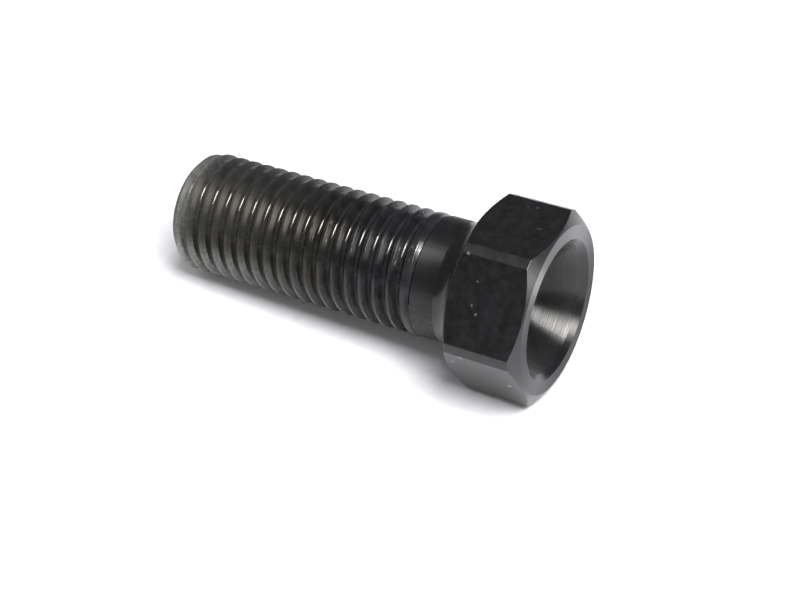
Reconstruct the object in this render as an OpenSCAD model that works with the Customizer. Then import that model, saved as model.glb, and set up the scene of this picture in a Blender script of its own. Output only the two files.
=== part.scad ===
// Valve adjusting screw: a hexagon-headed screw turned from round bar, with a ball cup in its head
// and a fine thread on its shank. It lies as it comes to rest: on one flat of the head and on the
// end of the shank, with the head towards +X.

/* [Head] */
// Width of the hexagon across its flats
across_flats = 14; // [13:0.5:19]
// Width of the strip of round bar left on each corner of the hexagon
corner_land = 0.85; // [0.4:0.05:1.5]
// Height of the head, from its front face to its underside
head_h = 6.5; // [5.5:0.5:10]
// How far the rim of each end face lies inside the flats
face_inset = 0.2; // [0.1:0.05:0.5]
// Angle of the corner chamfers, measured from the end faces
corner_chamfer_angle = 30; // [20:5:40]

/* [Ball cup] */
// Diameter of the mouth of the cup
mouth_d = 11.4; // [10.4:0.1:12.4]
// Width of the chamfer round the mouth
mouth_chamfer = 0.45; // [0.2:0.05:0.8]
// Angle between the wall of the cup and the axis
cup_wall_angle = 35; // [25:1:45]
// Radius of the spherical seat that takes the ball
seat_r = 4.5; // [3.5:0.1:5]

/* [Shank] */
// Length of the screw from end to end
overall_length = 33; // [28:0.5:60]
// Nominal diameter of the thread
thread_d = 10; // [9:0.5:11]
// Length of the plain neck between the head and the thread
neck_length = 3.9; // [2:0.1:8]
// How much smaller the neck is than the thread, in radius
neck_relief = 0.05; // [0.02:0.01:0.3]
// Radius of the fillet between the neck and the head
neck_fillet = 1.8; // [0.3:0.1:1.8]
// Width of the chamfer at the end of the shank
tail_chamfer = 0.7; // [0.4:0.1:1.2]

/* [Hidden] */
$fn = 96;

// Clear travel of each cutter past the surface that it cuts
overcut = 1;
// Least width of the flat ring between the neck fillet and the rim of the underside
underside_ring = 0.05;

// Head: the flats are milled on a bar that stays round across the corners
flat_r = across_flats / 2;
flat_half_w = flat_r * tan(30) - corner_land / sqrt(3);
bar_r = norm([flat_r, flat_half_w]);
face_r = flat_r - face_inset;
corner_chamfer_h = (bar_r - face_r) * tan(corner_chamfer_angle);

// Cup: a chamfered mouth, a conical wall and a spherical seat that runs into the wall without a step
mouth_r = mouth_d / 2;
wall_r = mouth_r - mouth_chamfer;
seat_edge_r = seat_r * cos(cup_wall_angle);
seat_edge_depth = mouth_chamfer + (wall_r - seat_edge_r) / tan(cup_wall_angle);
seat_centre_depth = seat_edge_depth - seat_r * sin(cup_wall_angle);

// Shank
thread_r = thread_d / 2;
neck_r = thread_r - neck_relief;
tail_r = thread_r - tail_chamfer;
thread_start = head_h + neck_length;
fillet = min(neck_fillet, face_r - neck_r - underside_ring, neck_length);

// Rest: the lower flat touches down where it runs out into the rear chamfer, and the shank where its
// end chamfer begins
heel_depth = head_h - face_inset * tan(corner_chamfer_angle);
toe_depth = overall_length - tail_chamfer;
rest_tilt = atan((flat_r - thread_r) / (toe_depth - heel_depth));
front_height = heel_depth * sin(rest_tilt) + flat_r * cos(rest_tilt);
front_reach = face_r * sin(rest_tilt);
tail_reach = overall_length * cos(rest_tilt) + tail_r * sin(rest_tilt);

// Section of the turned blank: radius across, depth behind the front face along
module blank_section() {
    fillet_r = neck_r + fillet;
    fillet_depth = head_h + fillet;
    difference() {
        polygon([
            [0, 0],
            [face_r, 0],
            [bar_r, corner_chamfer_h],
            [bar_r, head_h - corner_chamfer_h],
            [face_r, head_h],
            [fillet_r, head_h],
            [fillet_r, fillet_depth],
            [neck_r, fillet_depth],
            [neck_r, thread_start],
            [thread_r, thread_start],
            [thread_r, toe_depth],
            [tail_r, overall_length],
            [0, overall_length]
        ]);
        translate([fillet_r, fillet_depth]) circle(fillet);
    }
}

// Section of the cup, cut from in front of the face
module cup_section() {
    polygon([
        [0, -overcut],
        [mouth_r + overcut, -overcut],
        [wall_r, mouth_chamfer],
        [seat_edge_r, seat_edge_depth],
        [0, seat_edge_depth]
    ]);
    intersection() {
        translate([0, seat_centre_depth]) circle(seat_r);
        translate([0, seat_edge_depth]) square(seat_r);
    }
}

// What the milling cutter takes off the bar to leave the six flats
module flat_cuts() {
    for (side = [0:5])
        rotate(60 * side)
            translate([flat_r, -bar_r, -overcut])
                cube([bar_r, 2 * bar_r, head_h + 2 * overcut]);
}

// Lays the screw down from its turning axis, with one flat underneath
module at_rest() {
    translate([(tail_reach - front_reach) / 2, 0, front_height])
        rotate([0, -rest_tilt, 0])
            rotate([0, -90, 0])
                children();
}

module adjusting_screw() {
    color([0.13, 0.13, 0.14])
        at_rest()
            difference() {
                rotate_extrude() blank_section();
                flat_cuts();
                rotate_extrude() cup_section();
            }
}

adjusting_screw();
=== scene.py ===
"""Looks of the valve adjusting screw: the blackened steel screw with its thread, edges and finish."""

import math

import bpy
import numpy as np
from mathutils import Matrix, Vector


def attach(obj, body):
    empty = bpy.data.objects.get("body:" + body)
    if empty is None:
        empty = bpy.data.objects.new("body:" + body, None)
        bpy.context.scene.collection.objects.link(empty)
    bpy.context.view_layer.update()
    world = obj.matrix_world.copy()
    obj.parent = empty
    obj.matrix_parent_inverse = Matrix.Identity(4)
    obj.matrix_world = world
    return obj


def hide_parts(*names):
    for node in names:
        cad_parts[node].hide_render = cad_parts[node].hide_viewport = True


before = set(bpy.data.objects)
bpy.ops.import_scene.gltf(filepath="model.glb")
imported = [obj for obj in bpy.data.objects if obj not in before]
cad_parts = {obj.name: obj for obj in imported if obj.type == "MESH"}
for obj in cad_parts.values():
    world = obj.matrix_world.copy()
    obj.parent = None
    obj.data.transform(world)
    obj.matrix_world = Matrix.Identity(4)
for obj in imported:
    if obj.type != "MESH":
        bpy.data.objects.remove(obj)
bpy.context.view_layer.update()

MM = 0.001

# Driving dimensions of the screw in millimetres, the same as in the part's source
ACROSS_FLATS = 14.0
CORNER_LAND = 0.85
HEAD_H = 6.5
FACE_INSET = 0.2
CORNER_CHAMFER_ANGLE = math.radians(30)
MOUTH_D = 11.4
MOUTH_CHAMFER = 0.45
CUP_WALL_ANGLE = math.radians(35)
SEAT_R = 4.5
OVERALL_LENGTH = 33.0
THREAD_D = 10.0
NECK_LENGTH = 3.9
NECK_RELIEF = 0.05
NECK_FILLET = 1.8
TAIL_CHAMFER = 0.7

# Thread: metric fine, right-hand, rolled, with round roots
PITCH = 1.25
FLANK_SLOPE = math.tan(math.radians(60))
ROOT_R = 0.25
GROOVE_DEPTH = 0.64
CREST_ROUND = 0.05
# Where the middle of a root crosses the top of the screw, behind the front face
ROOT_DEPTH_ON_TOP = -0.4825
# Run-out: the last groove rises out of the metal before the ring that the die's edge leaves beside
# the neck
RUNOUT_START = 0.2
RUNOUT_LENGTH = 1.0
RING_DEPTH = 0.28
RING_WIDTH = 0.1
CREST_SLOPE_DROP = 0.17
CREST_SLOPE_LENGTH = 0.38
# Angles round the axis, from the top towards +Y: the ring is deepest between the middle two and fades
# out towards the outer two
RING_TURNS = [math.radians(a) for a in (-90, -45, 60, 120)]
LEAST_RING = 0.05
# Share of the ring's depth from which its faces get the dark, dull finish that paints the shade in the
# ring
PAINTED_SHADE_RING = 3 * LEAST_RING

# How far before the end chamfer the rows of points leave the helix and run round the axis
HELIX_STOP = 0.4

# Plain neck beyond the fillet that has the fillet's smooth finish
SMOOTH_NECK = 0.1

# Small rounds on the edges
EDGE_ROUND = 0.08
RIM_ROUND = 0.08
MOUTH_ROUND = 0.05
TOE_ROUND = 0.6
TAIL_ROUND = 0.3
CORNER_ROUND = 0.15
RING_ROUND = 0.015

# Sizes that follow
flat_r = ACROSS_FLATS / 2
flat_half_width = flat_r * math.tan(math.radians(30)) - CORNER_LAND / math.sqrt(3)
flat_half_angle = math.atan2(flat_half_width, flat_r)
bar_r = math.hypot(flat_r, flat_half_width)
face_r = flat_r - FACE_INSET
mouth_r = MOUTH_D / 2
wall_r = mouth_r - MOUTH_CHAMFER
seat_edge_r = SEAT_R * math.cos(CUP_WALL_ANGLE)
seat_edge_depth = MOUTH_CHAMFER + (wall_r - seat_edge_r) / math.tan(CUP_WALL_ANGLE)
seat_centre_depth = seat_edge_depth - SEAT_R * math.sin(CUP_WALL_ANGLE)
thread_r = THREAD_D / 2
neck_r = thread_r - NECK_RELIEF
tail_r = thread_r - TAIL_CHAMFER
thread_start = HEAD_H + NECK_LENGTH
toe_depth = OVERALL_LENGTH - TAIL_CHAMFER
root_arc_end = ROOT_R * math.sin(math.radians(60))
groove_half_width = root_arc_end + (GROOVE_DEPTH - ROOT_R / 2) / FLANK_SLOPE
crest_tangent = CREST_ROUND * math.tan(math.radians(30))
neck_start = HEAD_H + NECK_FILLET + SMOOTH_NECK
ring_end = thread_start + RING_WIDTH
helix_end = toe_depth - HELIX_STOP
end_ring_r = tail_r - 3 * TAIL_ROUND

# Rest: on the heel of the lower flat and on the toe of the shank
heel_depth = HEAD_H - FACE_INSET * math.tan(CORNER_CHAMFER_ANGLE)
rest_tilt = math.atan((flat_r - thread_r) / (toe_depth - heel_depth))
front_height = heel_depth * math.sin(rest_tilt) + flat_r * math.cos(rest_tilt)
front_reach = face_r * math.sin(rest_tilt)
tail_reach = OVERALL_LENGTH * math.cos(rest_tilt) + tail_r * math.sin(rest_tilt)


def rest_matrix():
    """Places the turning axis, with depth behind the front face along local Z and local X upwards."""
    tilt_cos = math.cos(rest_tilt)
    tilt_sin = math.sin(rest_tilt)
    up = Vector((-tilt_sin, 0, tilt_cos))
    side = Vector((0, 1, 0))
    back = Vector((-tilt_cos, 0, -tilt_sin))
    front = Vector(((tail_reach - front_reach) / 2, 0, front_height)) * MM
    turned = Matrix((up, side, back)).transposed().to_4x4()
    return Matrix.Translation(front) @ turned


# Mesh of the screw: columns of points run along the screw at fixed angles, rows run round it

# Columns on each flat and on each strip of round bar
FLAT_COLUMNS = 21
STRIP_COLUMNS = 4
# Rows on the arcs of root and crest, by their angle in degrees, and parts of the flank between them
ROOT_ROWS = (12, 24, 36, 48, 60)
CREST_ROWS = (60, 40, 20, 0)
FLANK_PARTS = 3
# Distance of rows along the screw and on its tail, and parts of the seat and of the end face
ROW_SPACING = 0.3
TAIL_SPACING = 0.03
SEAT_PARTS = 12
END_PARTS = 5
# Turns that the helix has to spare at either end, before its rows are cut off at a ring
SPARE_TURNS = 2
# How near to such a ring, or to the end face, a point counts as lying on it
RING_SNAP = 0.01
END_SNAP = 0.001
# Finishes of the faces
TURNED, MILLED, CREST, NECK, CUP, STRIP, CHAMFER, RING, ROOT, FACE, END = range(11)


def column_angles():
    """Angles of the columns and the radius of the head there, with close columns on the corner edges."""
    half_round = CORNER_ROUND * math.tan(flat_half_angle / 2) / bar_r
    edge_r = bar_r - CORNER_ROUND * (1 / math.cos(flat_half_angle / 2) - 1)
    sector = math.radians(60)
    land_start = flat_half_angle + half_round
    land_end = sector - flat_half_angle - half_round
    flat_end = flat_half_angle - half_round
    offsets = [(a, flat_r / math.cos(a), True) for a in np.linspace(-flat_end, flat_end, FLAT_COLUMNS)]
    offsets.append((flat_half_angle, edge_r, False))
    offsets += [(a, bar_r, False) for a in np.linspace(land_start, land_end, STRIP_COLUMNS)]
    offsets.append((sector - flat_half_angle, edge_r, False))
    angles = []
    radii = []
    milled = []
    for side in range(6):
        for offset, radius, on_flat in offsets:
            angles.append(side * sector + offset)
            radii.append(radius)
            milled.append(on_flat)
    return np.array(angles), np.array(radii), np.array(milled)


def unit(vectors):
    """The vectors with length one."""
    return vectors / np.linalg.norm(vectors, axis=-1, keepdims=True)


def corner_arc(before, corner, after, radius, steps):
    """Points of the arc that rounds a corner, for all columns at once."""
    back = unit(before - corner)
    ahead = unit(after - corner)
    opening = np.arccos(np.clip(np.sum(back * ahead, axis=-1, keepdims=True), -1, 1))
    centre = corner + unit(back + ahead) * radius / np.sin(opening / 2)
    first = corner + back * radius / np.tan(opening / 2) - centre
    last = corner + ahead * radius / np.tan(opening / 2) - centre
    swing = math.pi - opening
    points = []
    for share in np.linspace(0, 1, steps + 1):
        spoke = np.sin((1 - share) * swing) * first + np.sin(share * swing) * last
        points.append(centre + spoke / np.sin(swing))
    return points


def path_rows(corners, rounds, spacing):
    """Rows of points (depth, radius) along a path, for all columns at once.

    Each corner between the ends of the path has a round: its radius and the steps of its arc.
    """
    rows = [corners[0]]
    for index in range(1, len(corners)):
        stop = [corners[index]]
        if index < len(corners) - 1:
            around = corners[index - 1 : index + 2]
            stop = corner_arc(*around, *rounds[index - 1])
        length = np.linalg.norm(stop[0] - rows[-1], axis=-1).max()
        pieces = max(1, math.ceil(length / spacing))
        start = rows[-1]
        rows += [start + (stop[0] - start) * k / pieces for k in range(1, pieces)]
        rows += stop
    return np.array(rows)


def groove_radius(depth, angles, envelope):
    """Radius of the shank where the thread groove is cut into an envelope, with rounded crests."""
    turns = (depth - ROOT_DEPTH_ON_TOP) / PITCH - angles / (2 * math.pi)
    across = (turns - np.round(turns)) * PITCH
    past_start = depth - across - thread_start - RUNOUT_START
    lift = np.clip(1 - past_start / RUNOUT_LENGTH, 0, 1) * GROOVE_DEPTH
    across = np.abs(across)
    root_middle = thread_r - GROOVE_DEPTH + ROOT_R + lift
    arc = root_middle - np.sqrt(np.clip(ROOT_R**2 - across**2, 0, None))
    flank = root_middle - ROOT_R / 2 + (across - root_arc_end) * FLANK_SLOPE
    groove = np.where(across < root_arc_end, arc, flank)
    past_edge = (flank - envelope) / FLANK_SLOPE
    inside = np.clip(CREST_ROUND**2 - (past_edge - crest_tangent) ** 2, 0, None)
    crest = envelope - CREST_ROUND + np.sqrt(inside)
    on_crest = np.where(past_edge < crest_tangent, crest, envelope)
    radius = np.where(past_edge < -crest_tangent / 2, groove, on_crest)
    return np.minimum(radius, envelope)


def ring_share(angles):
    """How deep the ring beside the neck is at each angle, as a share of its full depth."""
    turns = (angles + math.pi) % (2 * math.pi) - math.pi
    return np.interp(turns, RING_TURNS, [LEAST_RING, 1, 1, LEAST_RING])


def thread_envelope(depth, angles):
    """Radius of the thread's crests, which slope down to the ring beside the neck."""
    slope_end = ring_end + CREST_SLOPE_LENGTH
    drop = np.interp(depth, [ring_end, slope_end], [CREST_SLOPE_DROP, 0])
    return thread_r - drop * ring_share(angles)


def groove_offsets():
    """Places across one pitch, from crest to crest, where the thread gets a row of points."""
    half = [ROOT_R * math.sin(math.radians(a)) for a in ROOT_ROWS]
    flank = groove_half_width - crest_tangent / 2 - root_arc_end
    half += [root_arc_end + flank * k / FLANK_PARTS for k in range(1, FLANK_PARTS)]
    crest_end = groove_half_width + crest_tangent
    half += [crest_end - CREST_ROUND * math.sin(math.radians(a)) for a in CREST_ROWS]
    return [-a for a in reversed(half)] + [0] + half + [PITCH / 2]


class ScrewMesh:
    """Collects the points and faces of the screw."""

    def __init__(self, angles):
        self.angles = angles
        self.points = []
        self.faces = []
        self.finishes = []

    def outline(self, depth, radius):
        """Depth and radius at each column, from values that all columns share or one for each."""
        count = len(self.angles)
        return np.column_stack((np.broadcast_to(depth, count), np.broadcast_to(radius, count)))

    def add_point(self, depth, radius, angle):
        self.points.append((radius * math.cos(angle), radius * math.sin(angle), depth))
        return len(self.points) - 1

    def add_row(self, depths, radii):
        return [self.add_point(d, r, a) for d, r, a in zip(depths, radii, self.angles)]

    def add_face(self, corners, finish):
        """Adds a face without corners that fall together, and none at all if too few are left."""
        kept = [c for k, c in enumerate(corners) if c != corners[k - 1]]
        if len(set(kept)) == len(kept) and len(kept) > 2:
            self.faces.append(kept)
            self.finishes.append(finish)

    def join_rows(self, row, following, finish_of):
        """Adds the faces between two rows, with the finish that a rule gives each column."""
        count = len(self.angles)
        for j in range(count):
            k = (j + 1) % count
            self.add_face((row[j], row[k], following[k], following[j]), finish_of(j))

    def close(self, row, depth, outwards, finish):
        """Closes a row with a fan to a point on the axis."""
        pole = self.add_point(depth, 0, 0)
        count = len(self.angles)
        for j in range(count):
            k = (j + 1) % count
            fan = (row[j], row[k], pole) if outwards else (row[k], row[j], pole)
            self.add_face(fan, finish)


def always(finish):
    """Rule that gives every column the same finish."""
    return lambda column: finish


def head_path(mesh, head_radii, chamfer_depth):
    """Rows from the edge of the seat over the front face and the hexagon to the neck."""
    corners = [
        mesh.outline(seat_edge_depth, seat_edge_r),
        mesh.outline(MOUTH_CHAMFER, wall_r),
        mesh.outline(0, mouth_r),
        mesh.outline(0, face_r),
        mesh.outline(chamfer_depth, head_radii),
        mesh.outline(HEAD_H - chamfer_depth, head_radii),
        mesh.outline(HEAD_H, face_r),
        mesh.outline(HEAD_H, neck_r),
        mesh.outline(neck_start, neck_r),
    ]
    rounds = [
        (MOUTH_ROUND, 2),
        (MOUTH_ROUND, 3),
        (RIM_ROUND, 3),
        (EDGE_ROUND, 4),
        (EDGE_ROUND, 4),
        (RIM_ROUND, 3),
        (NECK_FILLET, 16),
    ]
    return path_rows(corners, rounds, ROW_SPACING)


def neck_path(mesh, share):
    """Rows of the plain neck and of the ring beside it."""
    corners = [
        mesh.outline(neck_start, neck_r),
        mesh.outline(thread_start, neck_r),
        mesh.outline(thread_start + RING_WIDTH / 2, neck_r - RING_DEPTH * share),
        mesh.outline(ring_end, thread_r - CREST_SLOPE_DROP * share),
    ]
    return path_rows(corners, [(RING_ROUND, 2), (RING_ROUND, 2)], ROW_SPACING)


def seat_path(mesh):
    """Rows of the spherical seat, from beside its pole to beside its edge."""
    rows = []
    for part in range(1, SEAT_PARTS):
        swing = (math.pi / 2 - CUP_WALL_ANGLE) * part / SEAT_PARTS
        depth = seat_centre_depth + SEAT_R * math.cos(swing)
        rows.append(mesh.outline(depth, SEAT_R * math.sin(swing)))
    return rows


def tail_path(mesh):
    """Rows of the shank's end and its chamfer, before the thread is cut into them."""
    corners = [
        mesh.outline(helix_end, thread_r),
        mesh.outline(toe_depth, thread_r),
        mesh.outline(OVERALL_LENGTH, tail_r),
        mesh.outline(OVERALL_LENGTH, end_ring_r),
    ]
    return path_rows(corners, [(TOE_ROUND, 4), (TAIL_ROUND, 6)], TAIL_SPACING)


def add_head(mesh, head_radii, on_flat):
    """Adds cup, front face, hexagon, underside and neck. Returns the row where the thread starts."""
    count = len(mesh.angles)
    chamfer_depth = (head_radii - face_r) * math.tan(CORNER_CHAMFER_ANGLE)
    share = ring_share(mesh.angles)
    path = [*seat_path(mesh), *head_path(mesh, head_radii, chamfer_depth), *neck_path(mesh, share)[1:]]
    rows = [mesh.add_row(*row.T) for row in path]
    mesh.close(rows[0], seat_centre_depth + SEAT_R, outwards=False, finish=CUP)

    # Where the ring is deep, its faces get the finish that paints the ring's shade
    def in_ring(column):
        return RING if share[column] > PAINTED_SHADE_RING else NECK

    for row, following in zip(rows, rows[1:]):
        depth = mesh.points[row[0]][2]
        radius = math.hypot(*mesh.points[row[0]][:2])

        def head_side(column):
            middle = (mesh.points[row[column]][2] + mesh.points[following[column]][2]) / 2
            if abs(middle - HEAD_H / 2) > HEAD_H / 2 - chamfer_depth[column]:
                return CHAMFER
            return MILLED if on_flat[column] and on_flat[(column + 1) % count] else STRIP

        finish_of = always(TURNED)
        if depth < HEAD_H and radius < wall_r:
            finish_of = always(CUP)
        elif depth < RIM_ROUND / 4 and mouth_r < radius < face_r:
            finish_of = always(FACE)
        elif radius > face_r and depth < HEAD_H:
            finish_of = head_side
        elif depth > thread_start - RING_WIDTH / 4:
            finish_of = in_ring
        elif depth > neck_start - SMOOTH_NECK / 2:
            finish_of = always(NECK)
        mesh.join_rows(row, following, finish_of)
    return rows[-1]


def helix_rows(mesh, offsets, first_ring, last_ring):
    """Rows of points that follow the helix, cut off at a ring on each end of the thread."""
    first_turn = math.floor((ring_end - ROOT_DEPTH_ON_TOP) / PITCH) - SPARE_TURNS
    last_turn = math.ceil((helix_end - ROOT_DEPTH_ON_TOP) / PITCH) + SPARE_TURNS
    turns = range(first_turn, last_turn)
    starts = [ROOT_DEPTH_ON_TOP + turn * PITCH + offset for turn in turns for offset in offsets]
    rows = []
    for start in starts:
        depths = start + PITCH * mesh.angles / (2 * math.pi)
        radii = groove_radius(depths, mesh.angles, thread_envelope(depths, mesh.angles))
        row = []
        for j, angle in enumerate(mesh.angles):
            if depths[j] < ring_end + RING_SNAP:
                row.append(first_ring[j])
            elif depths[j] > helix_end - RING_SNAP:
                row.append(last_ring[j])
            else:
                row.append(mesh.add_point(depths[j], radii[j], angle))
        rows.append(row)
    return rows


def add_thread(mesh, first_ring, last_ring):
    """Adds the thread between the ring beside the neck and the first ring of the tail."""
    offsets = groove_offsets()
    rows = helix_rows(mesh, offsets, first_ring, last_ring)
    per_turn = len(offsets)
    for i in range(len(rows) - 1):
        row, following = rows[i : i + 2]
        furthest = max(abs(offsets[i % per_turn]), abs(offsets[(i + 1) % per_turn]))
        finish = ROOT if furthest < (root_arc_end + groove_half_width) / 2 else CREST
        for j in range(len(row) - 1):
            mesh.add_face((row[j], row[j + 1], following[j + 1], following[j]), finish)
        if i + per_turn + 1 < len(rows):
            # The last column meets the first one a turn further on
            near, far = rows[i + per_turn : i + per_turn + 2]
            mesh.add_face((row[-1], near[0], far[0], following[-1]), finish)


def join_tail(mesh, path, rows):
    """Joins the rows of the tail and closes the end face."""
    for row, following, uncut in zip(rows, rows[1:], path[1:]):

        def tail_finish(column):
            if mesh.points[row[column]][2] > OVERALL_LENGTH - END_SNAP:
                return END
            sunk = uncut[column][1] - math.hypot(*mesh.points[following[column]][:2])
            return ROOT if sunk > GROOVE_DEPTH / 2 else CREST

        mesh.join_rows(row, following, tail_finish)
    row = rows[-1]
    for part in range(END_PARTS - 1, 0, -1):
        radius = end_ring_r * (part / END_PARTS)
        following = mesh.add_row(*mesh.outline(OVERALL_LENGTH, radius).T)
        mesh.join_rows(row, following, always(END))
        row = following
    mesh.close(row, OVERALL_LENGTH, outwards=True, finish=END)


def build_screw_mesh():
    """The whole screw about its turning axis, in millimetres."""
    angles, head_radii, on_flat = column_angles()
    mesh = ScrewMesh(angles)
    first_ring = add_head(mesh, head_radii, on_flat)
    path = tail_path(mesh)
    tail_rows = [mesh.add_row(row[:, 0], groove_radius(row[:, 0], angles, row[:, 1])) for row in path]
    add_thread(mesh, first_ring, tail_rows[0])
    join_tail(mesh, path, tail_rows)
    return mesh


def area_weighted_normals(points, faces):
    """Normal of each point, led by its larger faces, so that flats stay flat beside the small rounds."""
    normals = np.zeros_like(points)
    for size in (3, 4):
        chosen = np.array([f for f in faces if len(f) == size])
        first = points[chosen[:, 2]] - points[chosen[:, 0]]
        second = points[chosen[:, size - 1]] - points[chosen[:, 1]]
        crossed = np.cross(first, second)
        for corner in range(size):
            np.add.at(normals, chosen[:, corner], crossed)
    return unit(normals)


def set_vectors(data, name, vectors):
    """Stores a vector for each point of a mesh."""
    attribute = data.attributes.new(name, "FLOAT_VECTOR", "POINT")
    attribute.data.foreach_set("vector", vectors.astype(np.float32).ravel())


def make_screw():
    """The screw at rest. Its points keep their place on the lathe, for the tool marks."""
    built = build_screw_mesh()
    turning = np.array(built.points)
    laid = np.array(rest_matrix())
    points = turning * MM @ laid[:3, :3].T + laid[:3, 3]
    heights, sides, depths = turning.T
    tangents = np.column_stack((-sides, heights, np.zeros_like(depths))) @ laid[:3, :3].T
    data = bpy.data.meshes.new("adjusting_screw_looks")
    data.from_pydata(points.tolist(), [], built.faces)
    data.polygons.foreach_set("material_index", built.finishes)
    data.polygons.foreach_set("use_smooth", [True] * len(data.polygons))
    set_vectors(data, "turning_place", turning)
    set_vectors(data, "turning_direction", tangents)
    data.update()
    normals = area_weighted_normals(points, built.faces)
    data.normals_split_custom_set_from_vertices(normals.tolist())
    screw = bpy.data.objects.new("adjusting_screw_looks", data)
    bpy.context.scene.collection.objects.link(screw)
    return screw


# Materials

# The values that most of a noise lies between
NOISE_RANGE = (0.3, 0.7)
# Turn of the highlights: a quarter turn spreads them across the tool marks that run round the axis
ACROSS_MARKS = 0.25


class Nodes:
    """Short calls for the nodes of one material."""

    def __init__(self, name):
        self.material = bpy.data.materials.new(name)
        self.material.use_nodes = True
        self.tree = self.material.node_tree
        self.tree.nodes.clear()

    def add(self, kind, settings=None, **inputs):
        """New node. An underscore in the name of an input stands for a blank."""
        node = self.tree.nodes.new(kind)
        for key, value in (settings or {}).items():
            setattr(node, key, value)
        for key, value in inputs.items():
            self.put(node.inputs[key.replace("_", " ")], value)
        return node

    def put(self, socket, value):
        """Sets an input to a value, or links it to another node."""
        if isinstance(value, bpy.types.NodeSocket):
            self.tree.links.new(value, socket)
        else:
            socket.default_value = value

    def math(self, operation, *values):
        node = self.tree.nodes.new("ShaderNodeMath")
        node.operation = operation
        for socket, value in zip(node.inputs, values):
            self.put(socket, value)
        return node.outputs[0]

    def ramp(self, value, low, high, to_low, to_high):
        """Moves smoothly from to_low to to_high while a value moves from low to high."""
        node = self.add("ShaderNodeMapRange", {"interpolation_type": "SMOOTHSTEP"})
        self.put(node.inputs["Value"], value)
        self.put(node.inputs["From Min"], low)
        self.put(node.inputs["From Max"], high)
        self.put(node.inputs["To Min"], to_low)
        self.put(node.inputs["To Max"], to_high)
        return node.outputs["Result"]

    def spread(self, noise, to_low, to_high):
        """Spreads a noise over a range of values."""
        return self.ramp(noise, *NOISE_RANGE, to_low, to_high)


class Steel(Nodes):
    """Blackened steel: a dark oiled skin with tool marks round the axis, smudges, dust and fine grain."""

    def __init__(self, name):
        super().__init__(name)
        self.place = self.stored("turning_place")
        parts = self.add("ShaderNodeSeparateXYZ", Vector=self.place).outputs
        self.height, self.side, self.depth = parts
        squares = [self.math("MULTIPLY", part, part) for part in (self.height, self.side)]
        self.radius = self.math("SQRT", self.math("ADD", *squares))
        self.normal = None

    def stored(self, name):
        """Vector that the mesh stores for each point."""
        return self.add("ShaderNodeAttribute", {"attribute_name": name}).outputs["Vector"]

    def noise(self, scale, detail=4.0, roughness=0.6):
        inputs = {"Vector": self.place, "Scale": scale, "Detail": detail, "Roughness": roughness}
        return self.add("ShaderNodeTexNoise", **inputs).outputs["Fac"]

    def tool_marks(self, per_mm):
        """Noise that changes along the axis and across it, and not round it."""
        along = self.math("MULTIPLY", self.depth, per_mm)
        across = self.math("MULTIPLY", self.radius, per_mm)
        lines = self.add("ShaderNodeCombineXYZ", X=along, Y=across).outputs[0]
        settings = {"noise_dimensions": "2D"}
        marks = self.add("ShaderNodeTexNoise", settings, Vector=lines, Scale=1.0, Detail=3.0)
        return marks.outputs["Fac"]

    def stretched(self, around, along):
        """Place with its scale round the axis and along it."""
        node = self.add("ShaderNodeVectorMath", {"operation": "MULTIPLY"}, Vector=self.place)
        node.inputs[1].default_value = (around, around, along)
        return node.outputs["Vector"]

    def streaks(self, around, along):
        """Noise that is drawn out round the axis."""
        inputs = {"Vector": self.stretched(around, along), "Scale": 1.0, "Detail": 4.0}
        return self.add("ShaderNodeTexNoise", **inputs).outputs["Fac"]

    def nicks(self, around, along, size):
        """Short marks drawn out round the axis, as a mask."""
        inputs = {"Vector": self.stretched(around, along), "Scale": 1.0}
        marks = self.add("ShaderNodeTexVoronoi", **inputs).outputs["Distance"]
        return self.ramp(marks, 0.3 * size, size, 1.0, 0.0)

    def dust(self, per_mm, size):
        """Small specks, as a mask."""
        dots = self.add("ShaderNodeTexVoronoi", Vector=self.place, Scale=per_mm).outputs["Distance"]
        return self.ramp(dots, 0.6 * size * per_mm, size * per_mm, 1.0, 0.0)

    def specks(self):
        """Shade of the dust specks at their places."""
        ragged = self.ramp(self.noise(14.0, 2.0), 0.35, 0.6, 1.5, 0.75)
        shade = 0.0
        for *place, size, strength in SPECKS:
            away = self.add("ShaderNodeVectorMath", {"operation": "DISTANCE"}, Vector=self.place)
            away.inputs[1].default_value = place
            reach = self.math("MULTIPLY", away.outputs["Value"], ragged)
            shade = self.math("MAXIMUM", shade, self.ramp(reach, 0.4 * size, size, strength, 0.0))
        return shade

    def raise_by(self, height, millimetres):
        """Adds relief to the surface."""
        bump = self.add("ShaderNodeBump", Strength=1.0, Distance=millimetres * MM, Height=height)
        if self.normal:
            self.put(bump.inputs["Normal"], self.normal)
        self.normal = bump.outputs["Normal"]

    def tinted(self, shade, tint):
        """Colour of a shade, from the share of it in each channel."""
        red, green, blue = [self.math("MULTIPLY", shade, share) for share in tint]
        return self.add("ShaderNodeCombineColor", Red=red, Green=green, Blue=blue).outputs["Color"]

    def finish(self, colour, rough, anisotropy, index=1.5, mirrored=(1, 1, 1, 1)):
        """Closes the material, with the tint of what it mirrors."""
        surface = self.add("ShaderNodeBsdfPrincipled")
        self.put(surface.inputs["Base Color"], colour)
        self.put(surface.inputs["Roughness"], rough)
        self.put(surface.inputs["IOR"], index)
        self.put(surface.inputs["Anisotropic"], anisotropy)
        self.put(surface.inputs["Anisotropic Rotation"], ACROSS_MARKS)
        self.put(surface.inputs["Specular Tint"], mirrored)
        self.put(surface.inputs["Tangent"], self.stored("turning_direction"))
        self.put(surface.inputs["Normal"], self.normal)
        output = self.add("ShaderNodeOutputMaterial")
        self.tree.links.new(surface.outputs["BSDF"], output.inputs["Surface"])
        return self.material


WHITE = (1.0, 1.0, 1.0)
COOL = (1.0, 1.0, 1.08)
WARM = (1.0, 0.99, 0.95)
OXIDE = 0.007
DUST_SHADE = 0.03
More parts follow.
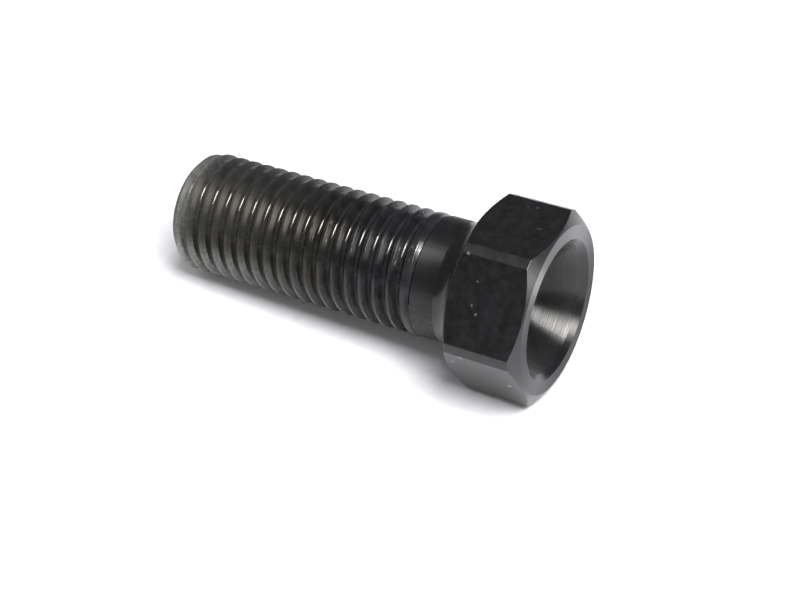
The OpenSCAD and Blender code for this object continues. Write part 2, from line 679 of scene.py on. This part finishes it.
# Dust specks on the flats and corner strips: height above the axis, side, depth, size and shade
SPECKS = [
    (4.97, -5.21, 4.24, 0.11, 0.08),
    (3.35, -6.15, 4.29, 0.12, 0.1),
    (2.85, -6.44, 3.83, 0.12, 0.11),
    (7.0, 2.61, 3.79, 0.12, 0.04),
    (7.0, 2.72, 3.05, 0.14, 0.06),
    (7.0, 0.29, 1.68, 0.14, 0.04),
    (7.0, 0.2, 1.85, 0.12, 0.03),
    (7.0, -2.03, 5.52, 0.12, 0.03),
    (6.58, -4.28, 5.44, 0.16, 0.12),
    (-1.82, -7.03, 5.6, 0.16, 0.3),
    (-0.6, -7.74, 4.45, 0.15, 0.4),
    (-0.55, -7.75, 4.7, 0.12, 0.3),
    (-3.4, -6.12, 1.32, 0.14, 0.4),
    (-3.32, -6.17, 1.12, 0.14, 0.4),
    (-5.2, -5.08, 4.55, 0.14, 0.2),
]
# Stretch of the shank over which its finish gets duller and dustier towards the tail
DULL_START = 17.0
DULL_END = 32.0
# Shade of the dust on the end, and the stretch over which it sets in
END_FILM = 0.08
END_FILM_START = toe_depth - 1.8
END_FILM_FULL = toe_depth + 0.2
# Shades of the dust towards the tail: on crests everywhere and below, in roots on top and below. The
# extra paleness below is painted light from the lit floor under the shank
CREST_FILM = 0.012
LOWER_CREST_DUST_AND_PAINTED_LIGHT = 0.13
UPPER_ROOT_FILM = 0.02
LOWER_ROOT_DUST_AND_PAINTED_LIGHT = 0.1
# Stretch over which the sheen of the thread turns brownish, and its tint there
BROWN_START = 14.0
BROWN_END = 20.0
BROWN = (1.0, 0.925, 0.8)


def face_steel():
    """The front face, turned, with a sheen that changes round it, and painted shade that dims its
    reflection from the top down to the axis and below it.
    """
    s = Steel("face_black_steel")
    smudges = s.noise(0.7, 6.0)
    s.raise_by(s.noise(9.0, 3.0), 0.0006)
    shade = s.spread(smudges, 0.7 * OXIDE, 1.4 * OXIDE)
    rough = s.spread(smudges, 0.34, 0.38)
    # Painted shade: the reflection is dimmed on the lower part of the face and is brightest at the top
    painted_shade_tint = s.tinted(s.ramp(s.height, 0.0, 0.95 * face_r, 0.2, 1.0), WHITE)
    return s.finish(s.tinted(shade, COOL), rough, anisotropy=0.95, index=2.35, mirrored=painted_shade_tint)


def turned_steel():
    """Underside, neck fillet and the chamfer of the cup's mouth."""
    s = Steel("turned_black_steel")
    smudges = s.noise(0.55, 5.0)
    s.raise_by(s.tool_marks(8.0), 0.001)
    shade = s.spread(smudges, 0.7 * OXIDE, 1.3 * OXIDE)
    shade = s.math("ADD", shade, s.math("MULTIPLY", s.dust(1.2, 0.06), DUST_SHADE))
    rough = s.spread(smudges, 0.22, 0.26)
    return s.finish(s.tinted(shade, COOL), rough, anisotropy=0.7)


def strip_steel():
    """The strips of round bar on the corners of the hexagon, brushed round the axis."""
    s = Steel("strip_black_steel")
    smudges = s.noise(0.9, 5.0)
    s.raise_by(s.tool_marks(8.0), 0.001)
    shade = s.spread(smudges, 1.0 * OXIDE, 1.7 * OXIDE)
    shade = s.math("ADD", shade, s.specks())
    rough = s.spread(smudges, 0.26, 0.3)
    return s.finish(s.tinted(shade, COOL), rough, anisotropy=0.88)


def chamfer_steel():
    """The chamfers at both ends of the hexagon, turned."""
    s = Steel("chamfer_black_steel")
    smudges = s.noise(0.9, 5.0)
    s.raise_by(s.tool_marks(8.0), 0.001)
    shade = s.spread(smudges, 1.0 * OXIDE, 1.7 * OXIDE)
    rough = s.spread(smudges, 0.3, 0.34)
    return s.finish(s.tinted(shade, COOL), rough, anisotropy=0.88, index=1.62)


def cup_steel():
    """The ball cup, with turning lines that spread its highlight along the axis, rougher on one side, and
    painted shade that dims its reflection deeper inside.
    """
    s = Steel("cup_black_steel")
    smudges = s.noise(0.55, 5.0)
    lines = s.tool_marks(11.0)
    s.raise_by(lines, 0.002)
    shade = s.spread(smudges, 0.7 * OXIDE, 1.3 * OXIDE)
    dirt = s.ramp(s.side, -0.5 * wall_r, -0.1 * wall_r, 0.2, 0.0)
    rough = s.math("ADD", s.ramp(lines, 0.35, 0.65, 0.27, 0.41), dirt)
    # Painted shade: the reflection dims from the mouth towards the seat
    painted_shade_tint = s.tinted(s.ramp(s.depth, MOUTH_CHAMFER, seat_edge_depth, 1.0, 0.55), WHITE)
    return s.finish(s.tinted(shade, COOL), rough, anisotropy=0.9, index=1.58, mirrored=painted_shade_tint)


def milled_steel():
    """The six flats."""
    s = Steel("milled_black_steel")
    smudges = s.noise(1.8, 7.0, 0.7)
    grain = s.noise(9.0, 3.0)
    s.raise_by(grain, 0.0006)
    shade = s.spread(smudges, 0.3 * OXIDE, 1.3 * OXIDE)
    shade = s.math("ADD", shade, s.ramp(s.streaks(0.35, 0.9), 0.4, 0.75, 0.0, 0.5 * OXIDE))
    shade = s.math("ADD", shade, s.math("MULTIPLY", s.dust(1.2, 0.05), DUST_SHADE))
    shade = s.math("ADD", shade, s.specks())
    rough = s.spread(smudges, 0.28, 0.32)
    return s.finish(s.tinted(shade, COOL), rough, anisotropy=0.0)


class ThreadSteel(Steel):
    """Steel of the thread, with a brownish sheen from its middle on, and dustier towards the tail."""

    def __init__(self, name):
        super().__init__(name)
        self.smudges = self.noise(0.9, 5.0)
        self.raise_by(self.noise(7.0, 4.0), 0.003)
        self.patches = self.noise(3.2, 5.0, 0.65)
        self.dull = self.ramp(self.depth, DULL_START, DULL_END, 0.0, 1.0)
        self.end = self.ramp(self.depth, END_FILM_START, END_FILM_FULL, 0.0, 1.0)
        self.brown = self.ramp(self.depth, BROWN_START, BROWN_END, 0.0, 1.0)

    def between(self, first, last):
        """Channels of a tint that changes along the shank."""
        return [self.ramp(self.brown, 0.0, 1.0, a, b) for a, b in zip(first, last)]

    def mirrored(self, share=1.0):
        """Tint of what the steel mirrors."""
        return self.tinted(share, self.between(WHITE, BROWN))

    def dust_and_painted_floor_light(self):
        """Shade of the dust on the crests and the end, with extra paleness on the lower side that is
        painted light from the floor.
        """
        under = self.ramp(self.height, -0.24 * thread_r, 0.2 * thread_r, 1.0, 0.0)
        return self.math("MULTIPLY_ADD", under, LOWER_CREST_DUST_AND_PAINTED_LIGHT, CREST_FILM)

    def filmed(self, film):
        """Colour of the oxide under a film of dust, and of the painted floor light that the film carries
        on the lower side.
        """
        film = self.math("MULTIPLY", film, self.dull)
        film = self.math("MULTIPLY_ADD", self.end, END_FILM, film)
        film = self.math("MULTIPLY", film, self.spread(self.patches, 0.65, 1.35))
        oxide = self.spread(self.smudges, 0.9 * OXIDE, 2.3 * OXIDE)
        return self.tinted(self.math("ADD", oxide, film), self.between(COOL, WARM))


def root_steel():
    """The rolled roots: smooth on the upper near side and rougher elsewhere, with painted shade that dims
    their reflection on the other sides, and dust towards the tail that is paler below with painted light
    from the floor.
    """
    s = ThreadSteel("root_black_steel")
    upper = s.ramp(s.height, 0.1 * thread_r, 0.55 * thread_r, 0.0, 1.0)
    # Below, the dust's extra paleness is painted light from the lit floor under the shank
    under = s.ramp(s.height, -0.65 * thread_r, -0.05 * thread_r, 1.0, 0.0)
    film = s.math("MULTIPLY", upper, UPPER_ROOT_FILM)
    film = s.math("MULTIPLY_ADD", under, LOWER_ROOT_DUST_AND_PAINTED_LIGHT, film)
    rough = s.ramp(s.depth, thread_start, DULL_START, 0.22, 0.16)
    rough = s.math("MULTIPLY", rough, s.spread(s.smudges, 0.9, 1.1))
    smooth_side_and_painted_light = s.math("MULTIPLY", upper, s.ramp(s.side, -0.1 * thread_r, 0.25 * thread_r, 1.0, 0.5))
    rough = s.math("ADD", rough, s.ramp(smooth_side_and_painted_light, 0.0, 1.0, 0.2, 0.0))
    # Painted shade: away from the upper near side the roots' reflection is dimmed, for the shade in the
    # grooves
    sheen = s.mirrored(s.ramp(smooth_side_and_painted_light, 0.0, 1.0, 0.12, 1.0))
    return s.finish(s.filmed(film), rough, anisotropy=0.78, index=1.8, mirrored=sheen)


def crest_steel():
    """The brushed crests and the chamfer of the tail, with nicks, duller at the run-out and the tail."""
    s = ThreadSteel("crest_black_steel")
    worn = s.ramp(s.smudges, 0.36, 0.5, 0.0, 1.0)
    worn = s.math("MULTIPLY", worn, s.ramp(s.dull, 0.1, 0.6, 1.0, 0.0))
    nicks = s.math("MULTIPLY", s.nicks(0.6, 7.0, 0.28), worn)
    s.raise_by(nicks, -0.02)
    rough = s.math("MULTIPLY_ADD", s.dull, 0.27, s.spread(s.smudges, 0.26, 0.31))
    rough = s.math("ADD", rough, s.ramp(s.depth, ring_end, ring_end + RUNOUT_LENGTH, 0.14, 0.0))
    rough = s.math("MULTIPLY", rough, s.ramp(nicks, 0.0, 0.3, 1.0, 0.4))
    # The film is dust towards the tail, paler on the lower side as painted light from the floor
    film = s.filmed(s.dust_and_painted_floor_light())
    return s.finish(film, rough, anisotropy=0.9, index=1.43, mirrored=s.mirrored())


def end_steel():
    """The end face of the shank, turned, with dust towards its edge."""
    s = ThreadSteel("end_black_steel")
    s.raise_by(s.tool_marks(5.0), 0.003)
    edge = s.ramp(s.radius, 0.4 * tail_r, tail_r, 0.1, 1.0)
    s.dull = s.math("MULTIPLY", s.dull, edge)
    s.end = s.math("MULTIPLY", s.end, edge)
    rough = s.spread(s.smudges, 0.4, 0.5)
    # The film is dust towards the edge, paler on the lower side as painted light from the floor
    return s.finish(s.filmed(s.dust_and_painted_floor_light()), rough, anisotropy=0.8, index=1.43)


def neck_steel():
    """The plain neck, rough along the axis."""
    s = Steel("neck_black_steel")
    smudges = s.noise(0.55, 5.0)
    grain = s.noise(4.0, 5.0)
    s.raise_by(grain, 0.004)
    shade = s.spread(smudges, 0.9 * OXIDE, 1.4 * OXIDE)
    rough = s.spread(grain, 0.45, 0.62)
    return s.finish(s.tinted(shade, COOL), rough, anisotropy=0.95, index=1.53)


def ring_steel():
    """The narrow ring beside the neck, dark and dull: painted shade, for the shade that fills the narrow
    ring.
    """
    s = Steel("ring_painted_shade_steel")
    grain = s.noise(7.0, 4.0)
    s.raise_by(grain, 0.004)
    # Painted shade: a near-black, barely reflecting finish stands in for the shade in the ring
    shade = s.spread(grain, 0.3 * OXIDE, 0.7 * OXIDE)
    return s.finish(s.tinted(shade, COOL), rough=0.8, anisotropy=0.0, index=1.15)


def pale_paper():
    """The white sheet that the screw lies on."""
    n = Nodes("pale_paper")
    place = n.add("ShaderNodeTexCoord").outputs["Object"]
    fibres = n.add("ShaderNodeTexNoise", Vector=place, Scale=900.0, Detail=4.0)
    shade = n.spread(fibres.outputs["Fac"], 0.89, 0.93)
    colour = n.add("ShaderNodeCombineColor", Red=shade, Green=shade, Blue=shade)
    surface = n.add("ShaderNodeBsdfPrincipled")
    n.put(surface.inputs["Base Color"], colour.outputs["Color"])
    n.put(surface.inputs["Roughness"], 0.9)
    n.put(surface.inputs["Specular IOR Level"], 0.1)
    output = n.add("ShaderNodeOutputMaterial")
    n.tree.links.new(surface.outputs["BSDF"], output.inputs["Surface"])
    return n.material


# Stage: floor, lights and camera


FLOOR_HALF = 1.5
# The floor lies this far under the screw, so that the two don't touch
FLOOR_GAP = 0.01 * MM


def make_floor():
    """A sheet under the screw."""
    corners = [(x * FLOOR_HALF, y * FLOOR_HALF, 0) for x, y in ((-1, -1), (1, -1), (1, 1), (-1, 1))]
    data = bpy.data.meshes.new("floor")
    data.from_pydata(corners, [], [(0, 1, 2, 3)])
    floor = bpy.data.objects.new("floor", data)
    bpy.context.scene.collection.objects.link(floor)
    floor.location.z = -FLOOR_GAP
    data.materials.append(pale_paper())


# Lights, in metres and watts
PANEL_DISTANCE = 0.6
UPWARDS = Vector((0, 0, 1))
LENGTHWAYS = Vector((1, 0, 0))
LAMP_COLOUR = (1.0, 0.985, 0.96)
ROOM_COLOUR = (0.97, 0.973, 1.0)
WORLD_COLOUR = (0.15, 0.15, 0.156, 1)


def add_panel(name, direction, along, sizes, power, colour):
    """Area light that faces the screw from a direction, with its length in the plane of a second one."""
    data = bpy.data.lights.new(name, "AREA")
    data.shape = "RECTANGLE"
    data.size, data.size_y = sizes
    data.energy = power
    data.color = colour
    panel = bpy.data.objects.new(name, data)
    bpy.context.scene.collection.objects.link(panel)
    towards = Vector(direction).normalized()
    lengthways = (along - towards * along.dot(towards)).normalized()
    crossways = lengthways.cross(towards)
    panel.location = towards * PANEL_DISTANCE
    panel.rotation_mode = "QUATERNION"
    panel.rotation_quaternion = Matrix((crossways, lengthways, towards)).transposed().to_quaternion()
    return panel


def light_scene():
    """A lamp that the steel mirrors, the light that falls on the floor beside it, and a dim room."""
    world = bpy.data.worlds.new("dim_room")
    bpy.context.scene.world = world
    world.use_nodes = True
    world.node_tree.nodes["Background"].inputs["Color"].default_value = WORLD_COLOUR
    lamp = add_panel(
        "lamp",
        direction=(0.69, -0.148, 0.705),
        along=UPWARDS,
        sizes=(0.205, 0.497),
        power=8.2,
        colour=LAMP_COLOUR,
    )
    lamp.visible_diffuse = False
    spill = add_panel(
        "spill",
        direction=(0.4, -0.27, 0.876),
        along=LENGTHWAYS,
        sizes=(0.28, 0.36),
        power=5.4,
        colour=ROOM_COLOUR,
    )
    spill.visible_glossy = False
    wash = add_panel(
        "wash",
        direction=(0.0, -0.38, 0.92),
        along=LENGTHWAYS,
        sizes=(2.0, 2.0),
        power=4.7,
        colour=ROOM_COLOUR,
    )
    wash.visible_glossy = False


CAMERA_AT = Vector((54.19, -98.26, 93.99)) * MM
CAMERA_AIM = Vector((3.074, -0.966, 3.719)) * MM
CAMERA_ROLL = math.radians(1.607)
# Focal length and width of the sensor in millimetres, nearest and furthest sight in metres
CAMERA_LENS = 79.403
SENSOR_WIDTH = 36.0
NEAREST = 0.01
FURTHEST = 10.0


def make_camera():
    """The camera as it was fitted to the photo."""
    data = bpy.data.cameras.new("camera")
    data.lens = CAMERA_LENS
    data.sensor_width = SENSOR_WIDTH
    data.clip_start = NEAREST
    data.clip_end = FURTHEST
    camera = bpy.data.objects.new("camera", data)
    bpy.context.scene.collection.objects.link(camera)
    camera.location = CAMERA_AT
    looking = (CAMERA_AIM - CAMERA_AT).to_track_quat("-Z", "Y").to_matrix()
    camera.rotation_euler = (looking @ Matrix.Rotation(CAMERA_ROLL, 3, "Z")).to_euler()
    bpy.context.scene.camera = camera


FINISHES = {
    TURNED: turned_steel,
    MILLED: milled_steel,
    CREST: crest_steel,
    NECK: neck_steel,
    CUP: cup_steel,
    STRIP: strip_steel,
    CHAMFER: chamfer_steel,
    RING: ring_steel,
    ROOT: root_steel,
    FACE: face_steel,
    END: end_steel,
}

screw = make_screw()
for finish in sorted(FINISHES):
    screw.data.materials.append(FINISHES[finish]())
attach(screw, "root")
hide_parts("adjusting_screw")
make_floor()
light_scene()
make_camera()
bpy.context.scene.view_settings.view_transform = "Standard"
